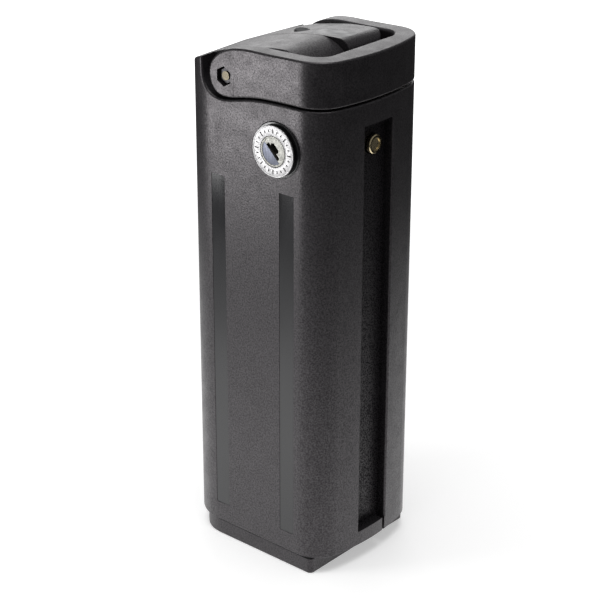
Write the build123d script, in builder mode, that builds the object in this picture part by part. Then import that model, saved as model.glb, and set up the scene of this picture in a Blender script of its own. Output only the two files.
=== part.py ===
from build123d import *
import math
import os

# Removable traction battery for a pedal-assist bicycle, 10 cells in series and 4 in parallel.
# Frame: millimetres, +Z up, +X towards the front face with its locating channel, -Y the lock side.
# The origin is the centre of the underside.

os.makedirs("parts", exist_ok=True)

# ---------------------------------------------------------------- driving dimensions
WIDTH = 110.0            # along X, rear face to the crest of the bowed front face
DEPTH = 88.0             # along Y, across the two broad faces
FRONT_BOW = 7.1          # how far the front face bulges
FRONT_CORNER_R = 17.8
REAR_CORNER_R = 26.0
WALL = 2.4
SHELL_BOTTOM = 10.0      # the shells stand on the base cap
TOP_CREST = 307.6        # highest line of the top
CREST_X = 28.0
TOP_ARC_R = 191.0        # long gentle arc of the top, seen from the side
TOP_FALL = 1.3           # how far each side of the top falls from its ridge to the broad face

HALF_W = WIDTH / 2
HALF_D = DEPTH / 2
BOW_R = (HALF_D ** 2 + FRONT_BOW ** 2) / (2 * FRONT_BOW)

PIVOT_X, PIVOT_Z = -18.5, 287.7
ARM_IN = 33.2            # inner face of a handle arm
CAP_SIDE = 32.6          # side of the crown that stands between the arms
HUB_IN = 30.6            # inner face of a handle hub
HUB_R = 8.0
HANDLE_FLOOR = 281.4     # underside of the handle's front bar
SHOULDER = 280.3         # shell shoulder below that bar
BAR_IN_X = 41.3          # inner face of the front bar
NOSE_X = 32.5            # front of the crown
NOSE_WALL_X, NOSE_WALL_Z = 9.0, 295.8
POCKET_X, POCKET_Z, POCKET_R = -22.0, 288.0, 13.5
SLEEVE_R = 3.5
RUN_GAP = 0.05           # radial clearance of a running fit

CHANNEL_HALF = 11.5
CHANNEL_FLOOR_X = 48.4
CHANNEL_FOOT, CHANNEL_HEAD = 18.8, 267.5
SLOT_Y0 = 9.2            # drain slot beside the channel's foot

LOCK_X, LOCK_Z = 19.5, 254.6
BARREL_R = 11.0
FACE_R = 14.4
FACE_PROUD = 3.4
KEYWAY_TURN = 45         # lean of the keyway from upright, in degrees
KEYWAY_W, KEYWAY_L = 2.2, 11.0
PLUG_R = 8.5
BOLT_R = 4.0
BOLT_HEAD_R = 5.4
BOLT_END_X = 51.9
BOLT_Z = 253.8           # the bolt runs a little below the lock's centre
CRANK_R = 6.4
CRANK_PIN_R = 2.5
BOLT_TRAVEL = 2 * CRANK_R * math.sin(math.radians(45))

STRIP_SPANS = ((-29.0, -18.9), (20.9, 31.4))
STRIP_Z0, STRIP_Z1 = 22.0, 230.7
STRIP_SINK = 0.5

CELL_R, CELL_LENGTH = 9.15, 65.0
CELL_PITCH = 20.0
CELL_COLUMNS = [-31.9 + CELL_PITCH * i for i in range(4)]
CELL_ROWS = [37.0 + CELL_PITCH * i for i in range(10)]
HOLDER_OUT = 34.0
HOLDER_DEPTH = 8.0

SCREW_XS = (-46.1, 41.9)
SCREW_ZS = (34.0, 124.0, 220.0)
BOSS_R = 3.9
SCREW_SEAT_Y = 12.0      # depth at which the heads of the case screws seat

BASE_REAR, BASE_FRONT, BASE_HALF = -49.0, 44.0, 43.25
BASE_SCREWS = ((40.9, 32.0), (-45.9, 12.0), (40.9, -32.0), (-45.9, -12.0))
GASKET = 0.6

SOCKET_X = 12.0
CHARGE_X, CHARGE_Z = -14.0, 253.0
FLAP_HINGE_Y, FLAP_HINGE_Z = 43.2, 244.0
EDGE_R = 1.2             # rounding of the crown, the rear top and the shoulder
FOOT_EDGE_R = 0.6
SEAM_HALF, SEAM_DEPTH = 0.2, 0.4   # step along the joint of the two halves
HANDLE_EDGE_R, INNER_EDGE_R = 1.1, 1.5
INSERT_X = -11.5
BOARD_Z = 240.0          # underside of the management board
GUIDE_SCREWS = ((-6.0, LOCK_Z - 11.0), (-6.0, LOCK_Z + 10.8))   # y and z
LENS = (1.5, 26.5, 3.0, 15.5)      # x from, x to, y from, y to
BUTTON_X, BUTTON_Y, BUTTON_R = -9.0, 9.2, 4.2


def save(builder, label):
    """Label a finished piece and write it."""
    builder.part.label = label
    export_step(builder.part, f"parts/{label}.step")


def cylinder_y(x, z, radius, y0, y1, mode=Mode.ADD):
    """A cylinder along Y in the part being built."""
    with BuildSketch(Plane.XZ.offset(-y1)) as disc:
        with Locations((x, z)):
            Circle(radius)
    extrude(disc.sketch, amount=y1 - y0, mode=mode)


def cylinder_x(y, z, radius, x0, x1, mode=Mode.ADD):
    """A cylinder along X in the part being built."""
    with BuildSketch(Plane.YZ.offset(x0)) as disc:
        with Locations((y, z)):
            Circle(radius)
    extrude(disc.sketch, amount=x1 - x0, mode=mode)


def cylinder_z(x, y, radius, z0, z1, mode=Mode.ADD):
    """A cylinder along Z in the part being built."""
    with BuildSketch(Plane.XY.offset(z0)) as disc:
        with Locations((x, y)):
            Circle(radius)
    extrude(disc.sketch, amount=z1 - z0, mode=mode)


def block(x0, x1, y0, y1, z0, z1, mode=Mode.ADD):
    """A box between two corners in the part being built."""
    with Locations(((x0 + x1) / 2, (y0 + y1) / 2, (z0 + z1) / 2)):
        Box(x1 - x0, y1 - y0, z1 - z0, mode=mode)


def hexagon_y(x, z, across_flats, y0, y1, mode=Mode.ADD):
    """A hexagonal prism along Y, with two flats upright."""
    with BuildSketch(Plane.XZ.offset(-y1)) as hexagon:
        with Locations((x, z)):
            RegularPolygon(across_flats / 2, 6, major_radius=False, rotation=30)
    extrude(hexagon.sketch, amount=y1 - y0, mode=mode)


def slab(outline, z0, z1, mode=Mode.ADD):
    """An outline drawn on the XY plane, raised from z0 to z1."""
    extrude(Plane.XY.offset(z0) * outline, amount=z1 - z0, mode=mode)


def plan(inset=0.0):
    """The pack's rounded outline from above, drawn in by inset."""
    with BuildSketch() as outline:
        Rectangle(WIDTH, DEPTH)
        with Locations((HALF_W - BOW_R, 0)):
            Circle(BOW_R, mode=Mode.INTERSECT)
        corners = outline.vertices().sort_by(Axis.X)
        fillet(corners[:2], REAR_CORNER_R)
        fillet(outline.vertices().group_by(Axis.X)[-1], FRONT_CORNER_R)
        if inset:
            offset(amount=-inset, kind=Kind.INTERSECTION)
    return outline.sketch


def base_plan(inset=0.0):
    """The base cap's outline, with wide rear corners and tight front ones."""
    with BuildSketch() as outline:
        with Locations(((BASE_REAR + BASE_FRONT) / 2, 0)):
            Rectangle(BASE_FRONT - BASE_REAR, 2 * BASE_HALF)
        corners = outline.vertices().group_by(Axis.X)
        fillet(corners[0], 21.5)
        fillet(outline.vertices().group_by(Axis.X)[-1], 3.2)
        if inset:
            offset(amount=-inset, kind=Kind.INTERSECTION)
    return outline.sketch


def top_height(x):
    """Height of the top arc above one x."""
    return TOP_CREST - (TOP_ARC_R - math.sqrt(TOP_ARC_R ** 2 - (x - CREST_X) ** 2))


def under_top(side, drop=0.0):
    """Everything under the top surface on one side of the joint, drawn in by drop.

    The near half's nose falls away early in a wide arc, the far half's late in a tight one."""
    nose_x, nose_z = (12.0, 297.0) if side < 0 else (25.0, 299.0)
    middle_x = (nose_x - 40.0) / 2
    rear = (-40.0, top_height(-40.0) - drop)
    nose = (nose_x, top_height(nose_x) - drop)
    nose_end = (NOSE_X - drop, nose_z - drop)
    with BuildPart() as region:
        with BuildSketch(Plane.XZ):
            with BuildLine():
                ThreePointArc((-57, 280.5 - drop), (-48.3, 291.0 - drop), rear)
                ThreePointArc(rear, (middle_x, top_height(middle_x) - drop), nose)
                TangentArc(nose, nose_end, tangent=(TOP_ARC_R, CREST_X - nose_x))
                Polyline(nose_end, (NOSE_X - drop, 290.0), (70, 290.0), (70, -5), (-57, -5),
                         (-57, 280.5 - drop))
            make_face()
        extrude(amount=HALF_D + 2, dir=(0, side * HALF_D, -TOP_FALL))
    return region.part


def shoulder_space(grow=0.0):
    """Space outside the crown where the handle lies and swings, made larger by grow."""
    radius = POCKET_R + grow
    pocket_rear = (POCKET_X - radius, POCKET_Z)
    pocket_low = (POCKET_X, POCKET_Z - radius)
    with BuildPart() as space:
        with BuildSketch(Plane.XZ):
            with BuildLine():
                Spline(pocket_low, (-9.0, 276.5 - grow), (4.0, 278.9 - grow), (18.8, 280.0 - grow),
                       (38.0, SHOULDER - grow), tangents=((1, 0), (1, 0)))
                Polyline((38.0, SHOULDER - grow), (70, SHOULDER - grow), (70, 330),
                         (POCKET_X - radius - 2.2, 330), pocket_rear)
                RadiusArc(pocket_rear, pocket_low, -radius)
            make_face()
        extrude(amount=HALF_D + 5, both=True)
        with BuildSketch(Plane.XY.offset(250)) as crown:
            with Locations(((NOSE_X - grow - 60) / 2, 0)):
                Rectangle(NOSE_X - grow + 60, 2 * (CAP_SIDE - grow))
            fillet(crown.vertices().group_by(Axis.X)[-1], 9.0 - grow)
        extrude(amount=90, mode=Mode.SUBTRACT)
    return space.part


def half_block(side, grow=0.0, bottom=SHELL_BOTTOM):
    """One half of the case as a solid block, or of its inside space when grow is a wall."""
    with BuildPart() as half:
        with BuildSketch(Plane.XY.offset(bottom)):
            add(plan(grow))
        extrude(amount=TOP_CREST)
        add(under_top(side, grow), mode=Mode.INTERSECT)
        add(shoulder_space(grow), mode=Mode.SUBTRACT)
    return half.part


def on_rim(edge):
    """True for the curved edges round the crown and the rear top."""
    middle = edge.center()
    beside_pocket = abs(middle.X - POCKET_X + POCKET_R) < 1.0
    return middle.Z > POCKET_Z - 5 and abs(middle.Y) > 5 and not beside_pocket


def on_shoulder(edge):
    """True for the curved edges round the outside of the shoulder under the handle."""
    middle = edge.center()
    outside = abs(middle.Y) > CAP_SIDE + 2 or middle.X > NOSE_X + 8
    return POCKET_Z - POCKET_R < middle.Z < POCKET_Z - 5 and outside


def rounded_half(side):
    """One half of the case as a solid block, its handled edges rounded and its joint edge stepped back."""
    with BuildPart() as half:
        add(half_block(side))
        curved = half.edges().filter_by(GeomType.LINE, reverse=True)
        fillet(curved.filter_by(on_rim) + curved.filter_by(on_shoulder), EDGE_R)
        outer = half.faces().sort_by(Axis.Z)[0].edges().filter_by(lambda edge: abs(edge.center().Y) > 1)
        fillet(outer, FOOT_EDGE_R)
        with BuildPart(mode=Mode.PRIVATE) as seam:
            block(-60, 60, -SEAM_HALF, SEAM_HALF, 0, 320)
            add(half_block(side, SEAM_DEPTH), mode=Mode.SUBTRACT)
            block(CHANNEL_FLOOR_X - 5, 60, -1, 1, 0, SHOULDER - 1, mode=Mode.SUBTRACT)
        add(seam.part, mode=Mode.SUBTRACT)
    return half.part


# ---------------------------------------------------------------- case
def channel_profile(side):
    """Plan of the locating channel on one side, with its rounded mouth."""
    mouth_x = HALF_W - (BOW_R - math.sqrt(BOW_R ** 2 - CHANNEL_HALF ** 2))
    lip = 2.6 if side < 0 else 1.4
    with BuildSketch() as mouth:
        with BuildLine():
            Polyline((CHANNEL_FLOOR_X, 0), (CHANNEL_FLOOR_X, side * CHANNEL_HALF),
                     (mouth_x - lip, side * CHANNEL_HALF))
            RadiusArc((mouth_x - lip, side * CHANNEL_HALF), (mouth_x, side * (CHANNEL_HALF + lip)),
                      side * -lip)
            Polyline((mouth_x, side * (CHANNEL_HALF + lip)), (60, side * (CHANNEL_HALF + lip)), (60, 0),
                     (CHANNEL_FLOOR_X, 0))
        make_face()
    return mouth.sketch


def shell_half(side):
    """One half of the case with its walls, channel, screw bosses and recesses, and no side's own holes."""
    block_half = rounded_half(side)
    with BuildPart() as bosses:
        for x in SCREW_XS:
            for z in SCREW_ZS:
                cylinder_y(x, z, BOSS_R, min(0, side * HALF_D), max(0, side * HALF_D))
        add(block_half, mode=Mode.INTERSECT)
    with BuildPart() as seats:
        for x, y in BASE_SCREWS:
            if y * side > 0:
                cylinder_z(x, y, 3.6, SHELL_BOTTOM, 24)
        add(block_half, mode=Mode.INTERSECT)
    with BuildPart() as half:
        add(block_half)
        with BuildPart(mode=Mode.PRIVATE) as room:
            add(half_block(side, WALL, SHELL_BOTTOM + WALL))
            block(CHANNEL_FLOOR_X - WALL, 70, -CHANNEL_HALF - WALL, CHANNEL_HALF + WALL,
                  0, CHANNEL_HEAD + WALL, mode=Mode.SUBTRACT)
            if side > 0:
                # wall beside the near half's lower nose, so that the step between them is closed
                block(NOSE_WALL_X, NOSE_X, 0, WALL, NOSE_WALL_Z, TOP_CREST, mode=Mode.SUBTRACT)
        add(room.part, mode=Mode.SUBTRACT)
        add(bosses.part)
        add(seats.part)
        # locating channel in the front face, closed at its foot
        with BuildSketch(Plane.XY.offset(CHANNEL_FOOT)):
            add(channel_profile(side))
        extrude(amount=CHANNEL_HEAD - CHANNEL_FOOT, mode=Mode.SUBTRACT)
        cylinder_x(0, BOLT_Z, BOLT_HEAD_R + 0.5, 40, 50, mode=Mode.SUBTRACT)
        # opening for the base cap's spigot
        slab(base_plan(5.7), SHELL_BOTTOM, 18.4, mode=Mode.SUBTRACT)
        for x, y in BASE_SCREWS:
            cylinder_z(x, y, 1.35, SHELL_BOTTOM, 22, mode=Mode.SUBTRACT)
        # recesses for the glossy strips
        for x0, x1 in STRIP_SPANS:
            face_y = side * HALF_D
            y0, y1 = sorted((face_y, face_y - side * STRIP_SINK))
            block(x0, x1, y0, y1, STRIP_Z0, STRIP_Z1, mode=Mode.SUBTRACT)
        # hub seat, boss and bore of the handle pivot
        y0, y1 = sorted((side * (HUB_IN - 0.3), side * (HUB_IN - 4.8)))
        cylinder_y(PIVOT_X, PIVOT_Z, 11.0, y0, y1)
        y0, y1 = sorted((side * (HUB_IN - 0.3), side * HALF_D))
        cylinder_y(PIVOT_X, PIVOT_Z, HUB_R + 0.4, y0, y1, mode=Mode.SUBTRACT)
        y0, y1 = sorted((side * 25, side * HALF_D))
        cylinder_y(PIVOT_X, PIVOT_Z, 2.5, y0, y1, mode=Mode.SUBTRACT)
        # groove for the sealing cord round the joint face
        add(seal_ring(), mode=Mode.SUBTRACT)
    return half.part


def seal_ring():
    """Sealing cord that lies between the two halves, just inside their walls."""
    with BuildPart() as ring:
        block(-54.0, -53.2, -0.5, 0.5, SHELL_BOTTOM + 1.6, 276.0)
        block(46.8, 47.6, -0.5, 0.5, SHELL_BOTTOM + 1.6, LOCK_Z - 8)
    return ring.part


def near_shell():
    """The half with the lock: bored for the barrel and its collar."""
    with BuildPart() as near_half_shell:
        add(shell_half(-1))
        cylinder_y(LOCK_X, LOCK_Z, BARREL_R + 0.15, -45, -36, mode=Mode.SUBTRACT)
        cylinder_y(LOCK_X, LOCK_Z, FACE_R + 1.6, -45, -HALF_D + 0.6, mode=Mode.SUBTRACT)
        for x in SCREW_XS:
            for z in SCREW_ZS:
                cylinder_y(x, z, 1.45, -16, 0, mode=Mode.SUBTRACT)
    save(near_half_shell, "near_half_shell")


def far_shell():
    """The half with the deep screw holes, the gauge and the charging port."""
    lens_x0, lens_x1, lens_y0, lens_y1 = LENS
    with BuildPart() as far_half_shell:
        add(shell_half(1))
        for x in SCREW_XS:
            for z in SCREW_ZS:
                cylinder_y(x, z, 1.7, 0, 20, mode=Mode.SUBTRACT)
                cylinder_y(x, z, 2.8, SCREW_SEAT_Y, 46, mode=Mode.SUBTRACT)
        # drain slot beside the channel's foot
        block(CHANNEL_FLOOR_X, 60, SLOT_Y0, CHANNEL_HALF, 0, CHANNEL_FOOT + 1, mode=Mode.SUBTRACT)
        # gauge window: a shallow seat for the lens, open under its middle
        block(lens_x0 + 2, lens_x1 - 2, lens_y0 + 2, lens_y1 - 2, 290, 320, mode=Mode.SUBTRACT)
        add(lens_block(0.12), mode=Mode.SUBTRACT)
        cylinder_z(BUTTON_X, BUTTON_Y, BUTTON_R + 0.3, 292, 320, mode=Mode.SUBTRACT)
        # two posts hold the gauge board
        for x, y, top in ((-14.5, 14.0, 301.0), (24.5, 18.5, 305.5)):
            cylinder_z(x, y, 1.7, 295.3, top)
        # charging port: thick pad inside, recess for the flap outside, bore for the socket
        block(CHARGE_X - 15, CHARGE_X + 15, 39.6, 42, CHARGE_Z - 12, CHARGE_Z + 12)
        block(CHARGE_X - 12, CHARGE_X + 12, 42.1, 46, CHARGE_Z - 10.5, CHARGE_Z + 9, mode=Mode.SUBTRACT)
        cylinder_y(CHARGE_X, CHARGE_Z, 6.1, 38, 43, mode=Mode.SUBTRACT)
        cylinder_x(FLAP_HINGE_Y, FLAP_HINGE_Z, 0.6, CHARGE_X - 13.5, CHARGE_X + 13.5, mode=Mode.SUBTRACT)
    save(far_half_shell, "far_half_shell")


def lens_block(grow=0.0):
    """The lens: a slice of the top surface, 1.4 deep, rounded in plan."""
    x0, x1, y0, y1 = LENS
    with BuildPart() as lens:
        with BuildSketch(Plane.XY.offset(290)) as outline:
            with Locations(((x0 + x1) / 2, (y0 + y1) / 2)):
                Rectangle(x1 - x0 + 2 * grow, y1 - y0 + 2 * grow)
            fillet(outline.vertices(), 2.0)
        extrude(amount=30)
        add(under_top(1), mode=Mode.INTERSECT)
        add(Pos(0, 0, -1.4 - grow / 4) * under_top(1), mode=Mode.SUBTRACT)
    return lens.part


def seal_cord():
    """The cord in the grooves of the joint face."""
    with BuildPart() as shell_seal:
        add(seal_ring())
    save(shell_seal, "shell_seal")


def case_screws():
    """Screws that draw the two halves together, entered from the far side."""
    with BuildPart() as shell_screws:
        for x in SCREW_XS:
            for z in SCREW_ZS:
                cylinder_y(x, z, 1.45, -14, SCREW_SEAT_Y)
                cylinder_y(x, z, 2.6, SCREW_SEAT_Y, SCREW_SEAT_Y + 2.2)
                hexagon_y(x, z, 2.5, SCREW_SEAT_Y + 1.0, SCREW_SEAT_Y + 2.2, mode=Mode.SUBTRACT)
    save(shell_screws, "shell_screws")


def trim_strips(side, label):
    """The two glossy strips let into one broad face, just below flush."""
    floor_y = side * (HALF_D - STRIP_SINK)
    y0, y1 = sorted((floor_y, floor_y + side * 0.35))
    with BuildPart() as strips:
        for x0, x1 in STRIP_SPANS:
            block(x0 + 0.15, x1 - 0.15, y0, y1, STRIP_Z0 + 0.15, STRIP_Z1 - 0.15)
    save(strips, label)


# ---------------------------------------------------------------- base
def base_cap():
    """Plinth under the case: a tray with a spigot, screw posts and the discharge opening."""
    top = SHELL_BOTTOM - GASKET
    with BuildPart() as cap:
        slab(base_plan(), 0, top)
        slab(base_plan(6.0), top, 18)
        slab(base_plan(8.4), 3, 20, mode=Mode.SUBTRACT)
        block(SOCKET_X - 17, SOCKET_X + 17, -11, 11, 3, 5)
        block(SOCKET_X - 13, SOCKET_X + 13, -7, 7, -1, 6, mode=Mode.SUBTRACT)
        for x, y in BASE_SCREWS:
            cylinder_z(x, y, 1.7, 0, 20, mode=Mode.SUBTRACT)
            cylinder_z(x, y, 2.4, -1, 3.4, mode=Mode.SUBTRACT)
        chamfer(cap.faces().sort_by(Axis.Z)[0].outer_wire().edges(), 0.5)
    save(cap, "base_cap")


def base_gasket():
    """Flat gasket between the base cap and the case."""
    with BuildPart() as gasket:
        slab(base_plan(0.8), SHELL_BOTTOM - GASKET, SHELL_BOTTOM)
        slab(base_plan(5.6), SHELL_BOTTOM - GASKET, SHELL_BOTTOM, mode=Mode.SUBTRACT)
        for x, y in BASE_SCREWS:
            cylinder_z(x, y, 1.8, 0, 20, mode=Mode.SUBTRACT)
    save(gasket, "base_gasket")


def base_screws():
    """Four screws from below through the base cap into the case."""
    with BuildPart() as screws:
        for x, y in BASE_SCREWS:
            cylinder_z(x, y, 1.35, 3.4, 19)
            cylinder_z(x, y, 2.2, 1.4, 3.4)
            with BuildSketch(Plane.XY.offset(1.4)) as drive:
                with Locations((x, y)):
                    RegularPolygon(1.1, 6, major_radius=False)
            extrude(drive.sketch, amount=1.0, mode=Mode.SUBTRACT)
    save(screws, "base_screws")


def discharge_socket():
    """Socket block over the opening in the base, holding the blade contacts."""
    with BuildPart() as socket:
        block(SOCKET_X - 15.5, SOCKET_X + 15.5, -9.5, 9.5, 5, 16)
        block(SOCKET_X - 13, SOCKET_X + 13, -7, 7, 4, 12.5, mode=Mode.SUBTRACT)
        for x in blade_places():
            block(x - 0.6, x + 0.6, -3.2, 3.2, 12, 17, mode=Mode.SUBTRACT)
    save(socket, "discharge_socket")


def blade_places():
    """Where the contact blades stand along X."""
    return [SOCKET_X + step for step in (-9.0, -3.0, 3.0, 9.0)]


def discharge_blades():
    """Contact blades: two for power, two narrower ones for signals."""
    with BuildPart() as blades:
        for number, x in enumerate(blade_places()):
            half = 3.1 if number in (0, 3) else 2.0
            block(x - 0.4, x + 0.4, -half, half, 6.0, 19.5)
            block(x - 0.6, x + 0.6, -3.2, 3.2, 12.5, 16)
    save(blades, "discharge_blades")


# ---------------------------------------------------------------- lock
def lock_bezel():
    """Black collar round the lock face, let into the near face."""
    with BuildPart() as bezel:
        cylinder_y(LOCK_X, LOCK_Z, FACE_R + 1.5, -HALF_D - 0.7, -HALF_D + 0.6)
        cylinder_y(LOCK_X, LOCK_Z, BARREL_R + 0.15, -50, -40, mode=Mode.SUBTRACT)
        chamfer(bezel.faces().sort_by(Axis.Y)[0].outer_wire().edges(), 0.5)
    save(bezel, "lock_bezel")


def lock_barrel():
    """Lock body: chromed face ring, black side wall and threaded barrel, bored for the plug."""
    face_y = -HALF_D - FACE_PROUD
    with BuildPart() as barrel:
        cylinder_y(LOCK_X, LOCK_Z, FACE_R, face_y + 0.9, -HALF_D - 0.7)
        cylinder_y(LOCK_X, LOCK_Z, BARREL_R, -HALF_D - 0.7, -16)
        cylinder_y(LOCK_X, LOCK_Z, PLUG_R + RUN_GAP, -50, -10, mode=Mode.SUBTRACT)
    save(barrel, "lock_barrel")


def lock_face():
    """Bright ring on the front of the lock barrel."""
    face_y = -HALF_D - FACE_PROUD
    with BuildPart() as ring:
        cylinder_y(LOCK_X, LOCK_Z, FACE_R, face_y, face_y + 0.9)
        chamfer(ring.faces().sort_by(Axis.Y)[0].outer_wire().edges(), 0.4)
        cylinder_y(LOCK_X, LOCK_Z, PLUG_R + 0.35, -50, -40, mode=Mode.SUBTRACT)
    save(ring, "lock_face_ring")


def lock_nut():
    """Thin hexagonal nut that clamps the barrel against the wall from inside."""
    with BuildPart() as nut:
        hexagon_y(LOCK_X, LOCK_Z, 27.0, -HALF_D + WALL, -HALF_D + WALL + 4.5)
        cylinder_y(LOCK_X, LOCK_Z, BARREL_R, -50, -30, mode=Mode.SUBTRACT)
    save(nut, "lock_nut")


def key_plug():
    """Turning plug with its keyway, flush with the face ring."""
    face_y = -HALF_D - FACE_PROUD
    with BuildPart() as plug:
        cylinder_y(LOCK_X, LOCK_Z, PLUG_R, face_y + 0.25, -16.4)
        with BuildSketch(Plane.XZ.offset(-face_y - 9.75)) as keyway:
            with Locations(Location((LOCK_X, LOCK_Z), KEYWAY_TURN)):
                Rectangle(KEYWAY_W, KEYWAY_L)
                with Locations((KEYWAY_W, 0.6)):
                    SlotOverall(6.4, 3.2, rotation=90)
        extrude(keyway.sketch, amount=12, mode=Mode.SUBTRACT)
        cylinder_y(LOCK_X, LOCK_Z, 3.0, -16.4, -13.4)
    save(plug, "key_plug")


def key_cam():
    """Crank on the plug's tail, with the pin that drives the bolt."""
    pin_x = LOCK_X + CRANK_R * math.sin(math.radians(45))
    pin_z = LOCK_Z + CRANK_R * math.cos(math.radians(45))
    with BuildPart() as cam:
        cylinder_y(LOCK_X, LOCK_Z, 6.0, -15.9, -13.4)
        cylinder_y(pin_x, pin_z, CRANK_PIN_R + 1.2, -15.9, -13.4)
        cylinder_y(LOCK_X, LOCK_Z, 3.0, -17, -13, mode=Mode.SUBTRACT)
        cylinder_y(pin_x, pin_z, CRANK_PIN_R, -13.4, -8.5)
    save(cam, "key_cam")


def lock_bolt():
    """Brass bolt with a wider dished head, standing in the locating channel."""
    with BuildPart() as bolt:
        cylinder_x(0, BOLT_Z, BOLT_R, 20.0, BOLT_END_X - 2.2)
        cylinder_x(0, BOLT_Z, BOLT_HEAD_R, BOLT_END_X - 2.2, BOLT_END_X)
        chamfer(bolt.faces().sort_by(Axis.X)[-1].outer_wire().edges(), 0.5)
        cylinder_x(0, BOLT_Z, 3.4, BOLT_END_X - 0.5, BOLT_END_X + 1, mode=Mode.SUBTRACT)
        cylinder_z(LOCK_X + BOLT_TRAVEL / 2, 0, 1.0, 240, 270, mode=Mode.SUBTRACT)
    save(bolt, "lock_bolt")


def bolt_carrier():
    """Slotted block on the bolt's tail that the crank pin pushes to and fro."""
    slot_x = LOCK_X + BOLT_TRAVEL / 2
    low = LOCK_Z + CRANK_R * math.cos(math.radians(45))
    high = LOCK_Z + CRANK_R
    half = CRANK_PIN_R + 0.35
    with BuildPart() as carrier:
        block(slot_x - 6, slot_x + 6, -12.4, -8.2, LOCK_Z - 6, high + half + 2.2)
        block(slot_x - 6, slot_x + 6, -8.2, 5.5, LOCK_Z - 6, LOCK_Z + 6)
        block(slot_x - half, slot_x + half, -14, -8.2, low - half, high + half, mode=Mode.SUBTRACT)
        cylinder_y(slot_x, LOCK_Z + CRANK_R, CRANK_PIN_R + 0.35, -8.5, -7.9, mode=Mode.SUBTRACT)
        cylinder_x(0, BOLT_Z, BOLT_R, 10, 40, mode=Mode.SUBTRACT)
        cylinder_z(slot_x, 0, 1.0, 240, 270, mode=Mode.SUBTRACT)
    save(carrier, "bolt_carrier")


def carrier_pin():
    """Roll pin through the carrier and the bolt."""
    slot_x = LOCK_X + BOLT_TRAVEL / 2
    with BuildPart() as pin:
        cylinder_z(slot_x, 0, 1.0, LOCK_Z - 5.8, LOCK_Z + 5.8)
    save(pin, "carrier_pin")


def bolt_guide():
    """Guide block behind the channel that the bolt slides in."""
    back = CHANNEL_FLOOR_X - WALL
    with BuildPart() as guide:
        block(back - 11.5, back, -9, 9, LOCK_Z - 8.5, LOCK_Z + 8.5)
        block(back - 2.5, back, -9, 9, LOCK_Z - 13.5, LOCK_Z + 13.0)
        cylinder_x(0, BOLT_Z, BOLT_R + RUN_GAP, 20, 60, mode=Mode.SUBTRACT)
        cylinder_x(0, BOLT_Z, BOLT_HEAD_R + 0.5, back - 6.4, 60, mode=Mode.SUBTRACT)
        for y, z in GUIDE_SCREWS:
            cylinder_x(y, z, 1.1, 30, 60, mode=Mode.SUBTRACT)
    save(guide, "bolt_guide")


def guide_screws():
    """Two screws that hold the guide to the channel wall."""
    back = CHANNEL_FLOOR_X - WALL
    with BuildPart() as screws:
        for y, z in GUIDE_SCREWS:
            cylinder_x(y, z, 1.1, back - 2.5, back)
            cylinder_x(y, z, 1.9, back - 4.1, back - 2.5)
    save(screws, "guide_screws")


# ---------------------------------------------------------------- handle
def on_inner_rim(edge):
    """True for the top edges round the inside of the handle."""
    ends = (edge @ 0, edge @ 1)
    inside = all(abs(end.Y) < ARM_IN + 0.1 and end.X < BAR_IN_X + 0.1 for end in ends)
    return inside and edge.center().Z > PIVOT_Z + 8


def handle():
    """Swinging bail: two flat arms on the broad sides and a thick bar round the front."""
    with BuildPart() as bail:
        slab(plan(), 260, 320)
        with BuildSketch(Plane.XZ) as profile:
            with BuildLine():
                Spline((PIVOT_X, PIVOT_Z - 11.4), (-9.0, 277.5), (4.0, 279.9), (18.8, 281.0),
                       (38, HANDLE_FLOOR), tangents=((1, 0), (1, 0)))
                Polyline((38, HANDLE_FLOOR), (70, HANDLE_FLOOR), (70, 304.5))
                Spline((70, 304.5), (44, 306.9), (10, 305.9), (-23.6, 298.9), (-28.6, 292.6),
                       (-28.6, 283.5), (PIVOT_X, PIVOT_Z - 11.4), tangents=((-1, 0.2), (1, 0)))
            make_face()
        extrude(profile.sketch, amount=60, both=True, mode=Mode.INTERSECT)
        fillet(bail.edges().filter_by(GeomType.LINE, reverse=True), HANDLE_EDGE_R)
        with BuildSketch(Plane.XY.offset(250)) as inside:
            with Locations(((BAR_IN_X - 60) / 2, 0)):
                Rectangle(BAR_IN_X + 60, 2 * ARM_IN)
            fillet(inside.vertices().group_by(Axis.X)[-1], 9.5)
        extrude(inside.sketch, amount=90, mode=Mode.SUBTRACT)
        fillet(bail.edges().filter_by(GeomType.BSPLINE).filter_by(on_inner_rim), INNER_EDGE_R)
        for side in (-1, 1):
            # fine line left by the mould insert beside the hub
            y0, y1 = sorted((side * (HALF_D - 0.2), side * (HALF_D + 1)))
            block(INSERT_X - 0.09, INSERT_X + 0.09, y0, y1, 270, PIVOT_Z, mode=Mode.SUBTRACT)
            y0, y1 = sorted((side * HUB_IN, side * (ARM_IN + 1)))
            cylinder_y(PIVOT_X, PIVOT_Z, HUB_R, y0, y1)
            y0, y1 = sorted((side * HUB_IN, side * HALF_D))
            cylinder_y(PIVOT_X, PIVOT_Z, SLEEVE_R + RUN_GAP, y0, y1, mode=Mode.SUBTRACT)
            y0, y1 = sorted((side * (HALF_D - 5), side * (HALF_D + 1)))
            hexagon_y(PIVOT_X, PIVOT_Z, 10.0, y0, y1, mode=Mode.SUBTRACT)
    save(bail, "handle")


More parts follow.
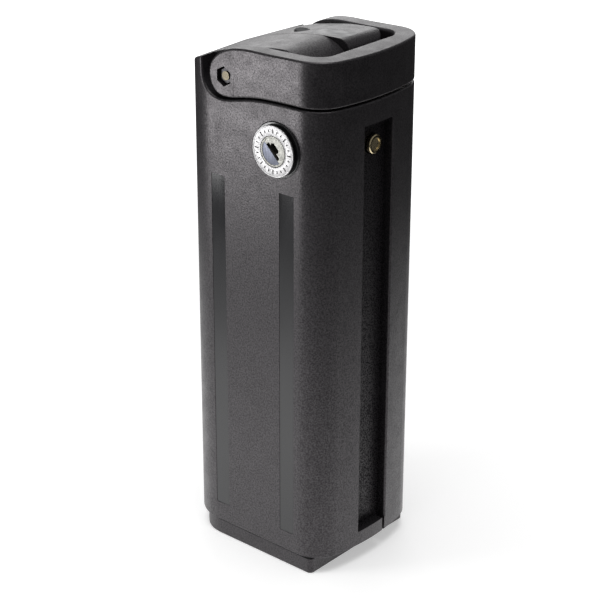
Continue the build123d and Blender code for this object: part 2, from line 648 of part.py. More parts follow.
def pivot_set():
    """Studs, sleeves and nuts of the two handle pivots."""
    with BuildPart() as studs:
        for side in (-1, 1):
            y0, y1 = sorted((side * (HUB_IN - 4.8), side * (HALF_D - 1.5)))
            cylinder_y(PIVOT_X, PIVOT_Z, 2.5, y0, y1)
            y0, y1 = sorted((side * (HUB_IN - 7.6), side * (HUB_IN - 4.8)))
            cylinder_y(PIVOT_X, PIVOT_Z, 4.4, y0, y1)
    save(studs, "pivot_studs")
    with BuildPart() as sleeves:
        for side in (-1, 1):
            y0, y1 = sorted((side * (HUB_IN - 0.3), side * (HALF_D - 4.6)))
            cylinder_y(PIVOT_X, PIVOT_Z, SLEEVE_R, y0, y1)
            cylinder_y(PIVOT_X, PIVOT_Z, 2.5, y0 - 1, y1 + 1, mode=Mode.SUBTRACT)
    save(sleeves, "pivot_sleeves")
    with BuildPart() as nuts:
        for side in (-1, 1):
            y0, y1 = sorted((side * (HALF_D - 4.6), side * (HALF_D - 2.2)))
            hexagon_y(PIVOT_X, PIVOT_Z, 8.0, y0, y1)
            cylinder_y(PIVOT_X, PIVOT_Z, 2.5, y0 - 1, y1 + 1, mode=Mode.SUBTRACT)
    save(nuts, "pivot_nuts")


# ---------------------------------------------------------------- cells
def cell_rows():
    """Ten rows of four round cells, every second row turned end for end."""
    half = CELL_LENGTH / 2
    for number, z in enumerate(CELL_ROWS, start=1):
        positive = 1 if number % 2 else -1
        with BuildPart() as row:
            for x in CELL_COLUMNS:
                y0, y1 = sorted((-positive * half, positive * (half - 1)))
                cylinder_y(x, z, CELL_R, y0, y1)
                y0, y1 = sorted((positive * (half - 1), positive * half))
                cylinder_y(x, z, 3.2, y0, y1)
        save(row, f"cell_row_{number:02d}")


def cell_holder(side, label):
    """Moulded plate that holds one end of every cell."""
    middle_x = sum(CELL_COLUMNS) / 4
    middle_z = sum(CELL_ROWS) / 10
    half_x = 1.5 * CELL_PITCH + CELL_R + 0.6
    half_z = 4.5 * CELL_PITCH + CELL_R + 0.6
    step = HOLDER_OUT - CELL_LENGTH / 2
    with BuildPart() as plate:
        y0, y1 = sorted((side * HOLDER_OUT, side * (HOLDER_OUT - HOLDER_DEPTH)))
        block(middle_x - half_x, middle_x + half_x, y0, y1, middle_z - half_z, middle_z + half_z)
        with BuildSketch(Plane.XZ.offset(-y1)) as windows:
            with Locations((middle_x, middle_z)):
                with GridLocations(CELL_PITCH, CELL_PITCH, 4, 10):
                    Circle(6.5)
        extrude(windows.sketch, amount=HOLDER_DEPTH, mode=Mode.SUBTRACT)
        y0, y1 = sorted((side * (HOLDER_OUT - step), side * (HOLDER_OUT - HOLDER_DEPTH)))
        with BuildSketch(Plane.XZ.offset(-y1)) as seats:
            with Locations((middle_x, middle_z)):
                with GridLocations(CELL_PITCH, CELL_PITCH, 4, 10):
                    Circle(CELL_R + 0.1)
        extrude(seats.sketch, amount=HOLDER_DEPTH - step, mode=Mode.SUBTRACT)
    save(plate, label)


def nickel_straps(side, first_row, label):
    """Welded straps that join the cell rows in pairs, dimpled down to each cell."""
    groups = []
    if first_row:
        groups.append(CELL_ROWS[:1])
    for start in range(first_row, 10, 2):
        groups.append(CELL_ROWS[start:start + 2])
    with BuildPart() as straps:
        for rows in groups:
            y0, y1 = sorted((side * HOLDER_OUT, side * (HOLDER_OUT + 0.3)))
            block(CELL_COLUMNS[0] - 5, CELL_COLUMNS[3] + 5, y0, y1, rows[0] - 6, rows[-1] + 6)
            y0, y1 = sorted((side * CELL_LENGTH / 2, side * HOLDER_OUT))
            with BuildSketch(Plane.XZ.offset(-y1)) as dimples:
                for x in CELL_COLUMNS:
                    with Locations(*[(x, z) for z in rows]):
                        Circle(2.8)
            extrude(dimples.sketch, amount=y1 - y0)
    save(straps, label)


def insulation_sheets():
    """Fibre sheets over the straps, one each side."""
    with BuildPart() as sheets:
        for side in (-1, 1):
            y0, y1 = sorted((side * (HOLDER_OUT + 0.35), side * (HOLDER_OUT + 0.75)))
            block(CELL_COLUMNS[0] - 8, CELL_COLUMNS[3] + 8, y0, y1, CELL_ROWS[0] - 9, CELL_ROWS[9] + 9)
    save(sheets, "insulation_sheets")


def foam_pads():
    """Foam between the cell block and the broad walls."""
    with BuildPart() as pads:
        for side in (-1, 1):
            y0, y1 = sorted((side * (HOLDER_OUT + 0.75), side * (HALF_D - WALL)))
            for x in (CELL_COLUMNS[0] + 10, CELL_COLUMNS[3] - 6):
                block(x - 5, x + 5, y0, y1, CELL_ROWS[0], CELL_ROWS[9])
    save(pads, "foam_pads")


# ---------------------------------------------------------------- electronics


def management_board():
    """Circuit board above the cells, standing on the cell holders."""
    with BuildPart() as board:
        block(-42, -3, -26, 26, BOARD_Z, BOARD_Z + 1.6)
        for side in (-1, 1):
            y0, y1 = sorted((side * 26, side * 30))
            block(-38, -8, y0, y1, BOARD_Z, BOARD_Z + 1.6)
    save(board, "management_board")
    with BuildPart() as legs:
        for x in (-36, -10):
            for y in (-30, 30):
                cylinder_z(x, y, 2.5, CELL_ROWS[9] + CELL_R + 0.6, BOARD_Z)
    save(legs, "board_standoffs")
    with BuildPart() as switches:
        for y in (-18, -10, -2, 6):
            block(-34, -24, y - 3, y + 3, BOARD_Z + 1.6, BOARD_Z + 5.6)
    save(switches, "power_transistors")
    with BuildPart() as sink:
        block(-36, -22, -22, 10, BOARD_Z + 5.6, BOARD_Z + 7.6)
        for fin in range(6):
            y = -21 + fin * 6
            block(-36, -22, y - 0.8, y + 0.8, BOARD_Z + 7.6, BOARD_Z + 15)
    save(sink, "heat_sink")
    with BuildPart() as chips:
        block(-16, -9, -4, 3, BOARD_Z + 1.6, BOARD_Z + 3.0)
        for y in (-16, -10, 10, 16):
            cylinder_z(-13, y, 2.4, BOARD_Z + 1.6, BOARD_Z + 9)
    save(chips, "board_components")
    with BuildPart() as holder:
        block(-40, -20, 15, 25, BOARD_Z + 1.6, BOARD_Z + 9)
        block(-39, -21, 17.3, 22.7, BOARD_Z + 4, BOARD_Z + 12, mode=Mode.SUBTRACT)
    save(holder, "fuse_holder")
    with BuildPart() as fuse:
        block(-38.8, -21.2, 17.5, 22.5, BOARD_Z + 4, BOARD_Z + 13)
    save(fuse, "blade_fuse")


def power_leads():
    """Two leads that run down behind the cells from the board to the discharge socket."""
    with BuildPart() as leads:
        for y in (-7.0, 7.0):
            blade_x = SOCKET_X - 9.0 if y < 0 else SOCKET_X + 9.0
            with BuildLine() as route:
                FilletPolyline((-38, y, BOARD_Z - 1.2), (-51.2, y, BOARD_Z - 1.2), (-51.2, y, 21.6),
                               (blade_x, y, 21.6), (blade_x, 0, 21.6), radius=3.0)
            with BuildSketch(Plane(origin=route.line @ 0, z_dir=route.line % 0)) as section:
                Circle(1.1)
            sweep(section.sketch, path=route.line)
            cylinder_z(blade_x, 0, 1.1, 19.5, 21.6)
    save(leads, "power_leads")


def gauge():
    """Charge gauge under the top of the far half: lens, board, light pipes and button."""
    with BuildPart() as lens:
        add(lens_block())
    save(lens, "gauge_lens")
    with BuildPart() as board:
        block(-17, 27, 1.5, 20.5, 293.7, 295.3)
    save(board, "gauge_board")
    with BuildPart() as pipes:
        for number in range(5):
            cylinder_z(5.5 + 4.2 * number, 9.2, 1.5, 295.3, 304.4)
    save(pipes, "gauge_light_pipes")
    with BuildPart() as switch:
        block(BUTTON_X - 3, BUTTON_X + 3, BUTTON_Y - 3, BUTTON_Y + 3, 295.3, 297.6)
    save(switch, "gauge_switch")
    with BuildPart() as button:
        cylinder_z(BUTTON_X, BUTTON_Y, BUTTON_R, 299.4, 304.3)
        cylinder_z(BUTTON_X, BUTTON_Y, BUTTON_R + 1.0, 298.6, 299.4)
        cylinder_z(BUTTON_X, BUTTON_Y, 1.6, 298.5, 298.6)
        fillet(button.faces().sort_by(Axis.Z)[-1].edges(), 0.6)
    save(button, "gauge_button")


def contact_places():
    """Where the three charging contacts stand, as x and z."""
    places = []
    for angle in (90, 210, 330):
        turn = math.radians(angle)
        places.append((CHARGE_X + 2.2 * math.cos(turn), CHARGE_Z + 2.2 * math.sin(turn)))
    return places


def charge_port():
    """Round charging socket behind a hinged rubber flap on the far side."""
    with BuildPart() as socket:
        cylinder_y(CHARGE_X, CHARGE_Z, 6.0, 28, 42.0)
        cylinder_y(CHARGE_X, CHARGE_Z, 4.2, 31, 43, mode=Mode.SUBTRACT)
        for x, z in contact_places():
            cylinder_y(x, z, 0.6, 27, 32, mode=Mode.SUBTRACT)
    save(socket, "charge_socket")
    with BuildPart() as nut:
        hexagon_y(CHARGE_X, CHARGE_Z, 17.0, 36.4, 39.6)
        cylinder_y(CHARGE_X, CHARGE_Z, 6.0, 30, 45, mode=Mode.SUBTRACT)
    save(nut, "charge_socket_nut")
    with BuildPart() as pins:
        for x, z in contact_places():
            cylinder_y(x, z, 0.6, 26.5, 31.2)
    save(pins, "charge_contacts")
    with BuildPart() as flap:
        block(CHARGE_X - 11.6, CHARGE_X + 11.6, 42.4, HALF_D, FLAP_HINGE_Z, CHARGE_Z + 8.6)
        chamfer(flap.faces().sort_by(Axis.Y)[-1].edges().filter_by(Axis.Z), 0.4)
        cylinder_x(FLAP_HINGE_Y, FLAP_HINGE_Z, 0.8, CHARGE_X - 11.6, CHARGE_X + 11.6)
        cylinder_x(FLAP_HINGE_Y, FLAP_HINGE_Z, 0.62, CHARGE_X - 14, CHARGE_X + 14, mode=Mode.SUBTRACT)
        block(CHARGE_X - 4, CHARGE_X + 4, HALF_D - 0.6, HALF_D + 1, CHARGE_Z + 7.2, CHARGE_Z + 10,
              mode=Mode.SUBTRACT)
    save(flap, "charge_flap")
    with BuildPart() as wire:
        cylinder_x(FLAP_HINGE_Y, FLAP_HINGE_Z, 0.57, CHARGE_X - 13.4, CHARGE_X + 13.4)
    save(wire, "flap_hinge_wire")


near_shell()
far_shell()
seal_cord()
case_screws()
trim_strips(-1, "near_trim_strips")
trim_strips(1, "far_trim_strips")
base_cap()
base_gasket()
base_screws()
discharge_socket()
discharge_blades()
lock_bezel()
lock_barrel()
lock_face()
lock_nut()
key_plug()
key_cam()
lock_bolt()
bolt_carrier()
carrier_pin()
bolt_guide()
guide_screws()
handle()
pivot_set()
cell_rows()
cell_holder(-1, "near_cell_holder")
cell_holder(1, "far_cell_holder")
nickel_straps(-1, 0, "near_nickel_straps")
nickel_straps(1, 1, "far_nickel_straps")
insulation_sheets()
foam_pads()
management_board()
power_leads()
gauge()
charge_port()
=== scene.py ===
"""Looks of a removable traction battery: finishes, fine detail pieces and the studio it stands in."""

import math

import bpy
from bpy.props import FloatProperty, FloatVectorProperty, IntProperty, PointerProperty
from bpy.types import Operator, Panel, PropertyGroup
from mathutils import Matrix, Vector


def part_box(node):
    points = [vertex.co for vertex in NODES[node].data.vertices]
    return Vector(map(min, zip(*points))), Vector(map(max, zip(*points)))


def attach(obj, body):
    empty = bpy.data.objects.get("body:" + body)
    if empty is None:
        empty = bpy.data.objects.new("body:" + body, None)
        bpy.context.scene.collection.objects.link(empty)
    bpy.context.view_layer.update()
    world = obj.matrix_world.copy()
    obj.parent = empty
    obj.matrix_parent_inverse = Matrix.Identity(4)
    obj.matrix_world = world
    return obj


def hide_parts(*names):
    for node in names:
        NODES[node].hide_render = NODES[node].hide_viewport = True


bl_info = {
    "name": "Traction battery finish",
    "version": (1, 0, 0),
    "blender": (4, 5, 0),
    "location": "3D View > Sidebar > Battery",
    "description": "Finishes and detail pieces for the removable battery pack",
    "category": "Object",
}

MM = 0.001
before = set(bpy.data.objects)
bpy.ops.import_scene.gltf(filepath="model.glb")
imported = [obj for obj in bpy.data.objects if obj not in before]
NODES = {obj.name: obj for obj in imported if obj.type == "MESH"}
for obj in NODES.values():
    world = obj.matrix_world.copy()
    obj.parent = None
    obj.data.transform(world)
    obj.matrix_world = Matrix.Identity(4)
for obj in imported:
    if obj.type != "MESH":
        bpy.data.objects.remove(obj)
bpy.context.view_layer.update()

# the front channel: half its width, and where its floor lies along X
CHANNEL_HALF = 11.5 * MM
CHANNEL_FLOOR = 48.4 * MM

# modelling: the sharpest bend shaded smooth, the least bend that gets rounded, and the sides of round pieces
SMOOTH_BEND = math.radians(35)
ROUNDED_BEND = math.radians(40)
RING_STEPS = 96
DISC_SIDES = 64

# the studio
AIM = Vector((-1.95 * MM, 0, 146.35 * MM))     # what the camera points at
POOL = (-0.03, -0.04, 0)                       # middle of the lit part of the floor
ROOM_LIGHT = 0.22                              # strength of the world's light on the pack
PAPER_WHITE = 0.8                              # reflectance of the floor's paper
PAPER_PAINTED_SHADE = 0.06                              # painted shade: the paper's colour far from the pack, where its reflections run into the dark
# name, side in metres, power in watts, place, height that it is aimed at
LAMPS = (
    ("lamp_back", 1.2, 9, (-1.1, 1.5, 0.8), 0.146),
    ("lamp_left", 0.15, 0.85, (-0.24, -0.33, 0.19), 0.29),
    ("lamp_top", 1.0, 14, (0.1, -0.1, 1.6), 0.146),
)

# the material's name for each finish, filled in once they are made
FINISH_NAMES = {}


# ---------------------------------------------------------------- settings a user would change
class PackFinish(PropertyGroup):
    """Colours and sizes of the finishes."""

    plastic: FloatVectorProperty(
        name="Plastic", description="Colour of the moulded case", subtype="COLOR", size=3,
        default=(0.0145, 0.0135, 0.0150), min=0, max=1)
    strip: FloatVectorProperty(
        name="Strips", description="Colour of the glossy strips", subtype="COLOR", size=3,
        default=(0.008, 0.008, 0.010), min=0, max=1)
    brass: FloatVectorProperty(
        name="Brass", description="Colour of the lock bolt", subtype="COLOR", size=3,
        default=(0.78, 0.66, 0.42), min=0, max=1)
    grain: FloatProperty(
        name="Grain", description="Width of one pit of the moulded grain", default=0.9 * MM,
        min=0.1 * MM, max=5 * MM, unit="LENGTH", precision=5)
    grain_depth: FloatProperty(
        name="Grain depth", description="Depth of the moulded grain", default=0.09 * MM,
        min=0, max=1 * MM, unit="LENGTH", precision=5)
    marks: IntProperty(
        name="Dial marks", description="Marks round the lock's face ring", default=24, min=4, max=60)
    mark_length: FloatProperty(
        name="Mark length", description="Length of a long dial mark", default=2.6 * MM,
        min=0.5 * MM, max=4 * MM, unit="LENGTH", precision=5)


class PackStage(PropertyGroup):
    """Camera and light of the studio."""

    lens: FloatProperty(
        name="Lens", description="Focal length in millimetres", default=112.1, min=20, max=300)
    distance: FloatProperty(
        name="Distance", description="From the camera to the middle of the pack", default=1.08133,
        min=0.3, max=5, unit="LENGTH")
    azimuth: FloatProperty(
        name="Azimuth", description="Turn of the camera about the pack", default=math.radians(40.773),
        subtype="ANGLE")
    elevation: FloatProperty(
        name="Elevation", description="Height angle of the camera", default=math.radians(23.985),
        subtype="ANGLE")
    roll: FloatProperty(
        name="Roll", description="Lean of the camera", default=math.radians(0.119), subtype="ANGLE")
    floor_radius: FloatProperty(
        name="Floor radius", description="Size of the round white floor", default=3.0,
        min=0.2, max=5, unit="LENGTH")
    lit_radius: FloatProperty(
        name="Lit radius", description="Part of the floor that the pack reflects as bright", default=0.38,
        min=0.1, max=3, unit="LENGTH")


# ---------------------------------------------------------------- material building blocks
def new_material(name, colour, roughness, metallic=0.0):
    """A material with one shader, whose sockets hold its constant values."""
    material = bpy.data.materials.new(name)
    material.use_nodes = True
    tree = material.node_tree
    shader = tree.nodes["Principled BSDF"]
    shader.inputs["Base Color"].default_value = (*colour, 1)
    shader.inputs["Roughness"].default_value = roughness
    shader.inputs["Metallic"].default_value = metallic
    return material, tree, shader


def pack_place(tree):
    """Where a point lies in the pack's own frame."""
    return tree.nodes.new("ShaderNodeTexCoord").outputs["Object"]


def noise(tree, size, detail=3.0, stretch=(1, 1, 1)):
    """Noise in the pack's own frame, with spots of about the given size."""
    place = pack_place(tree)
    mapping = tree.nodes.new("ShaderNodeMapping")
    mapping.inputs["Scale"].default_value = stretch
    spots = tree.nodes.new("ShaderNodeTexNoise")
    spots.inputs["Scale"].default_value = 1 / size
    spots.inputs["Detail"].default_value = detail
    tree.links.new(place, mapping.inputs["Vector"])
    tree.links.new(mapping.outputs["Vector"], spots.inputs["Vector"])
    return spots.outputs["Fac"]


def ranged(tree, value, start, end, low, high):
    """A value that runs from low to high as the given one goes from start to end."""
    node = tree.nodes.new("ShaderNodeMapRange")
    node.inputs["From Min"].default_value = start
    node.inputs["From Max"].default_value = end
    node.inputs["To Min"].default_value = low
    node.inputs["To Max"].default_value = high
    tree.links.new(value, node.inputs["Value"])
    return node.outputs["Result"]


def spread(tree, value, low, high, into, start=0.3, end=0.7):
    """Map a noise value onto a range and feed it into a socket."""
    tree.links.new(ranged(tree, value, start, end, low, high), into)


def tint(tree, value, dark, light, into, start=0.35, end=0.65):
    """Blend two colours by a noise value and feed the blend into a socket."""
    ramp = tree.nodes.new("ShaderNodeValToRGB")
    ramp.color_ramp.elements[0].position = start
    ramp.color_ramp.elements[1].position = end
    ramp.color_ramp.elements[0].color = (*dark, 1)
    ramp.color_ramp.elements[1].color = (*light, 1)
    tree.links.new(value, ramp.inputs["Fac"])
    tree.links.new(ramp.outputs["Color"], into)


def relief(tree, shader, value, depth, below=None):
    """Raise and lower the surface by a noise value, on top of an earlier relief if there is one."""
    bump = tree.nodes.new("ShaderNodeBump")
    bump.inputs["Distance"].default_value = depth
    tree.links.new(value, bump.inputs["Height"])
    if below is not None:
        tree.links.new(below.outputs["Normal"], bump.inputs["Normal"])
    tree.links.new(bump.outputs["Normal"], shader.inputs["Normal"])
    return bump


def maths(tree, operation, first, second):
    """A maths node fed by two sockets, or by a socket and a number."""
    node = tree.nodes.new("ShaderNodeMath")
    node.operation = operation
    tree.links.new(first, node.inputs[0])
    if isinstance(second, float):
        node.inputs[1].default_value = second
    else:
        tree.links.new(second, node.inputs[1])
    return node.outputs["Value"]


def scaled(colour, factor):
    """A colour made lighter or darker."""
    return tuple(part * factor for part in colour)


# ---------------------------------------------------------------- finishes
def moulded_plastic(name, colour, roughness, grain, depth):
    """Black plastic from a spark-eroded mould: fine pits, faint clouding, rubbed spots and dust specks."""
    material, tree, shader = new_material(name, colour, roughness)
    # pale dust specks about a millimetre wide, round scattered points that happen to lie near the surface
    speck_gap, speck_cover = 26 * MM, 0.8
    speck_colour = (0.32, 0.31, 0.3, 1)
    specks = tree.nodes.new("ShaderNodeTexVoronoi")
    specks.inputs["Scale"].default_value = 1 / speck_gap
    tree.links.new(pack_place(tree), specks.inputs["Vector"])
    dusted = tree.nodes.new("ShaderNodeMix")
    dusted.data_type = "RGBA"
    dusted.inputs["B"].default_value = speck_colour
    spread(tree, specks.outputs["Distance"], speck_cover, 0.0, dusted.inputs["Factor"], 0.012, 0.03)
    clouds = noise(tree, 40 * MM, 4)
    tint(tree, clouds, scaled(colour, 0.85), scaled(colour, 1.15), dusted.inputs["A"])
    tree.links.new(dusted.outputs["Result"], shader.inputs["Base Color"])
    rubbed = noise(tree, 9 * MM, 6)
    rub = 0.05
    spread(tree, rubbed, roughness - rub, roughness + rub, shader.inputs["Roughness"])
    # the pits shade the gloss as well as the relief, so that they still show from far off
    shader.inputs["Specular Tint"].default_value = (1.0, 0.94, 0.98, 1)
    pits = noise(tree, grain, 2)
    least_gloss, most_gloss = 0.26, 0.76
    spread(tree, pits, least_gloss, most_gloss, shader.inputs["Specular IOR Level"], 0.32, 0.68)
    coarse = relief(tree, shader, pits, depth)
    fine = noise(tree, grain / 3, 1)
    relief(tree, shader, fine, depth / 5, coarse)
    return material


def paint_channel_shade(material):
    """Painted shade: dull the gloss of the sunk floor of the front channel, more the deeper it lies."""
    tree = material.node_tree
    sheen = tree.nodes["Principled BSDF"].inputs["Specular IOR Level"]
    parts = tree.nodes.new("ShaderNodeSeparateXYZ")
    tree.links.new(pack_place(tree), parts.inputs["Vector"])
    aside = maths(tree, "ABSOLUTE", parts.outputs["Y"], 0.0)
    forward = parts.outputs["X"]
    # one inside the channel's width and depth, fading out at its walls and its mouth
    between = ranged(tree, aside, CHANNEL_HALF, CHANNEL_HALF + 0.5 * MM, 1.0, 0.0)
    sunk = ranged(tree, forward, CHANNEL_FLOOR + 1.5 * MM, CHANNEL_FLOOR + 6 * MM, 1.0, 0.0)
    in_front = ranged(tree, forward, CHANNEL_FLOOR - 2 * MM, CHANNEL_FLOOR - 1 * MM, 0.0, 1.0)
    painted_shade = maths(tree, "MULTIPLY", maths(tree, "MULTIPLY", between, sunk), in_front)
    # painted shade: the share of the gloss that the deepest part of the channel loses
    deepest_shade = 0.36
    shade_loss = maths(tree, "MULTIPLY", painted_shade, deepest_shade)
    tree.links.new(maths(tree, "SUBTRACT", sheen.links[0].from_socket, shade_loss), sheen)


def gloss_plastic(name, colour, roughness):
    """Polished plastic, faintly wavy as a thin moulding is."""
    material, tree, shader = new_material(name, colour, roughness)
    smears = noise(tree, 14 * MM, 5, (1, 1, 0.25))
    spread(tree, smears, roughness * 0.8, roughness * 1.35, shader.inputs["Roughness"])
    tint(tree, smears, scaled(colour, 0.9), scaled(colour, 1.2), shader.inputs["Base Color"])
    waves = noise(tree, 22 * MM, 1, (1, 1, 0.3))
    relief(tree, shader, waves, 0.12 * MM)
    return material


def soft_rubber(name, colour):
    """Matt rubber with a dusty bloom."""
    material, tree, shader = new_material(name, colour, 0.78)
    bloom = noise(tree, 3 * MM, 5)
    tint(tree, bloom, scaled(colour, 0.8), scaled(colour, 1.35), shader.inputs["Base Color"])
    relief(tree, shader, noise(tree, 0.4 * MM, 2), 0.02 * MM)
    return material


def turned_metal(name, colour, roughness, stretch=(1, 1, 1), tarnish=0.8):
    """Machined or plated metal with fine tool marks and a little tarnish."""
    material, tree, shader = new_material(name, colour, roughness, 1.0)
    marks = noise(tree, 0.5 * MM, 3, stretch)
    spread(tree, marks, roughness * 0.75, roughness * 1.3, shader.inputs["Roughness"])
    stains = noise(tree, 3 * MM, 5)
    tint(tree, stains, scaled(colour, tarnish), colour, shader.inputs["Base Color"])
    relief(tree, shader, marks, 0.006 * MM)
    return material


def flecked_sheet(name, colour, roughness, size):
    """Plain sheet, moulding or wrap for pieces that sit inside."""
    material, tree, shader = new_material(name, colour, roughness)
    flecks = noise(tree, size, 4)
    tint(tree, flecks, scaled(colour, 0.8), scaled(colour, 1.15), shader.inputs["Base Color"])
    spread(tree, flecks, roughness * 0.9, roughness * 1.1, shader.inputs["Roughness"])
    relief(tree, shader, flecks, 0.03 * MM)
    return material


def smoked_window(name):
    """Dark tinted plastic over the gauge, satin from handling."""
    material, tree, shader = new_material(name, (0.012, 0.012, 0.015), 0.36)
    smears = noise(tree, 6 * MM, 5)
    spread(tree, smears, 0.3, 0.44, shader.inputs["Roughness"])
    shader.inputs["Specular IOR Level"].default_value = 0.38
    relief(tree, shader, smears, 0.02 * MM)
    return material


def clear_pipe(name):
    """Frosted clear light pipe."""
    material, tree, shader = new_material(name, (0.75, 0.78, 0.76), 0.35)
    frost = noise(tree, 0.8 * MM, 3)
    spread(tree, frost, 0.3, 0.5, shader.inputs["Roughness"])
    shader.inputs["Transmission Weight"].default_value = 0.6
    return material


def make_finishes(finish):
    """Every finish by name, which is the slot's name where CAD nodes wear it."""
    plastic = tuple(finish.plastic)
    case_plastic = moulded_plastic("case plastic", plastic, 0.40, finish.grain, finish.grain_depth)
    # painted shade on the sunk floor of the front channel
    paint_channel_shade(case_plastic)
    return {
        "case_plastic": case_plastic,
        "handle_plastic": moulded_plastic("handle plastic", plastic, 0.40, finish.grain,
                                          finish.grain_depth * 0.8),
        "base_plastic": moulded_plastic("base plastic", scaled(plastic, 0.9), 0.5, finish.grain,
                                        finish.grain_depth * 0.7),
        "gloss_strip": gloss_plastic("gloss strip", tuple(finish.strip), 0.16),
        "gloss_black": gloss_plastic("gloss black", (0.012, 0.012, 0.013), 0.22),
        "rubber": soft_rubber("seal rubber", (0.02, 0.02, 0.02)),
        "button_rubber": soft_rubber("button rubber", (0.035, 0.035, 0.037)),
        "flap_rubber": soft_rubber("flap rubber", (0.024, 0.023, 0.024)),
        "black_screw": turned_metal("black screw", (0.06, 0.06, 0.065), 0.4),
        "black_metal": turned_metal("black metal", (0.035, 0.034, 0.036), 0.38),
        "zinc_steel": turned_metal("zinc steel", (0.62, 0.6, 0.56), 0.3),
        "chrome": turned_metal("satin chrome", (0.47, 0.465, 0.47), 0.5),
        "mark_metal": turned_metal("dial mark metal", (0.045, 0.044, 0.045), 0.55),
        "shutter_steel": turned_metal("shutter steel", (0.155, 0.165, 0.205), 0.5, (1, 1, 0.1)),
        # painted shade: a darkened steel for the pivot studs deep in their hex recesses
        "plug_metal": turned_metal("plug metal", (0.29, 0.288, 0.27), 0.5),
        "shaded_stud_steel": turned_metal("shaded stud steel", (0.10, 0.088, 0.065), 0.42),
        "brass": turned_metal("brass", tuple(finish.brass), 0.26, tarnish=0.7),
        "nickel": turned_metal("nickel", (0.6, 0.57, 0.5), 0.3),
        "holder_plastic": flecked_sheet("holder plastic", (0.05, 0.05, 0.055), 0.5, 2 * MM),
        "cell_wrap": flecked_sheet("cell wrap", (0.05, 0.16, 0.33), 0.35, 12 * MM),
        "fibre_sheet": flecked_sheet("fibre sheet", (0.35, 0.22, 0.08), 0.7, 1.5 * MM),
        "foam": flecked_sheet("foam", (0.09, 0.09, 0.09), 0.9, 1 * MM),
        "circuit_board": flecked_sheet("circuit board", (0.02, 0.11, 0.045), 0.35, 2 * MM),
        "aluminium": turned_metal("aluminium", (0.7, 0.7, 0.7), 0.35, (1, 0.05, 1)),
        "fuse_body": flecked_sheet("fuse body", (0.55, 0.08, 0.04), 0.3, 3 * MM),
        "lead_sleeve": flecked_sheet("lead sleeve", (0.35, 0.02, 0.02), 0.45, 4 * MM),
        "smoked_lens": smoked_window("smoked lens"),
        "light_pipe": clear_pipe("light pipe"),
    }


# ---------------------------------------------------------------- modelling helpers
def deselect():
    """Leave nothing selected before a new piece is started."""
    bpy.ops.object.select_all(action="DESELECT")


def choose(piece):
    """Make one object the only selected and active one."""
    deselect()
    piece.select_set(True)
    bpy.context.view_layer.objects.active = piece


def settle(piece, material, body):
    """Finish a piece: place into its mesh, normals outwards, smooth sides, material, body and slot."""
    choose(piece)
    bpy.ops.object.transform_apply(location=True, rotation=True, scale=True)
    bpy.ops.object.mode_set(mode="EDIT")
    bpy.ops.mesh.select_all(action="SELECT")
    bpy.ops.mesh.remove_doubles(threshold=0.002 * MM)
    bpy.ops.mesh.normals_make_consistent(inside=False)
    bpy.ops.object.mode_set(mode="OBJECT")
    bpy.ops.object.shade_smooth_by_angle(angle=SMOOTH_BEND)
    piece.data.materials.clear()
    piece.data.materials.append(material)
    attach(piece, body)


def bevel(piece, width, segments=3):
    """Round a piece's sharp edges with an applied Bevel modifier."""
    choose(piece)
    rounding = piece.modifiers.new("rounding", "BEVEL")
    rounding.width = width
    rounding.segments = segments
    rounding.limit_method = "ANGLE"
    rounding.angle_limit = ROUNDED_BEND
    bpy.ops.object.modifier_apply(modifier=rounding.name)


def turned_ring(name, centre, axis, inner, outer, low, high, rounding):
    """A ring turned about an axis through centre, from low to high along it, with rounded corners."""
    deselect()
    along = Vector(axis)
    across = Vector((1, 0, 0)) if abs(along.x) < 0.5 else Vector((0, 1, 0))
    bpy.ops.mesh.primitive_plane_add(size=1, location=(0, 0, 0))
    ring = bpy.context.object
    ring.name = name
    section = ((inner, low), (outer, low), (inner, high), (outer, high))
    for corner, (radius, rise) in zip(ring.data.vertices, section):
        corner.co = Vector(centre) + across * radius + along * rise
    bpy.ops.object.mode_set(mode="EDIT")
    bpy.ops.mesh.select_all(action="SELECT")
    bpy.ops.mesh.bevel(offset=rounding, segments=3, affect="VERTICES")
    bpy.ops.mesh.delete(type="ONLY_FACE")
    bpy.ops.mesh.select_all(action="SELECT")
    bpy.ops.mesh.spin(steps=RING_STEPS, angle=2 * math.pi, center=centre, axis=axis)
    bpy.ops.object.mode_set(mode="OBJECT")
    return ring


def disc(name, centre, axis, radius, low, high):
    """A short cylinder about an axis through centre, from low to high along it."""
    deselect()
    along = Vector(axis)
    bpy.ops.mesh.primitive_cylinder_add(
        vertices=DISC_SIDES, radius=radius, depth=high - low,
        location=Vector(centre) + along * (low + high) / 2,
        rotation=along.to_track_quat("Z", "Y").to_euler())
    piece = bpy.context.object
    piece.name = name
    return piece


def join(name, parts):
    """Make one piece of several."""
    deselect()
    for part in parts:
        part.select_set(True)
    bpy.context.view_layer.objects.active = parts[0]
    bpy.ops.object.join()
    parts[0].name = name
    return parts[0]


# ---------------------------------------------------------------- operators
class PACK_OT_finishes(Operator):
    """Give every CAD node its finish by its slot"""

    bl_idname = "pack.finishes"
    bl_label = "Finish the CAD nodes"

    def execute(self, context):
        finishes = make_finishes(context.scene.pack_finish)
        for finish, material in finishes.items():
            FINISH_NAMES[finish] = material.name
        for node in NODES.values():
            for place in node.material_slots:
                place.material = finishes[place.material.name]
        # painted shade: the studs wear a darker steel than the rest, so that they read as dark in their hex
        # recesses
        NODES["pivot_studs"].material_slots[0].material = finishes["shaded_stud_steel"]
        return {"FINISHED"}


def finish_named(finish):
    """The material of one finish."""
    return bpy.data.materials[FINISH_NAMES[finish]]


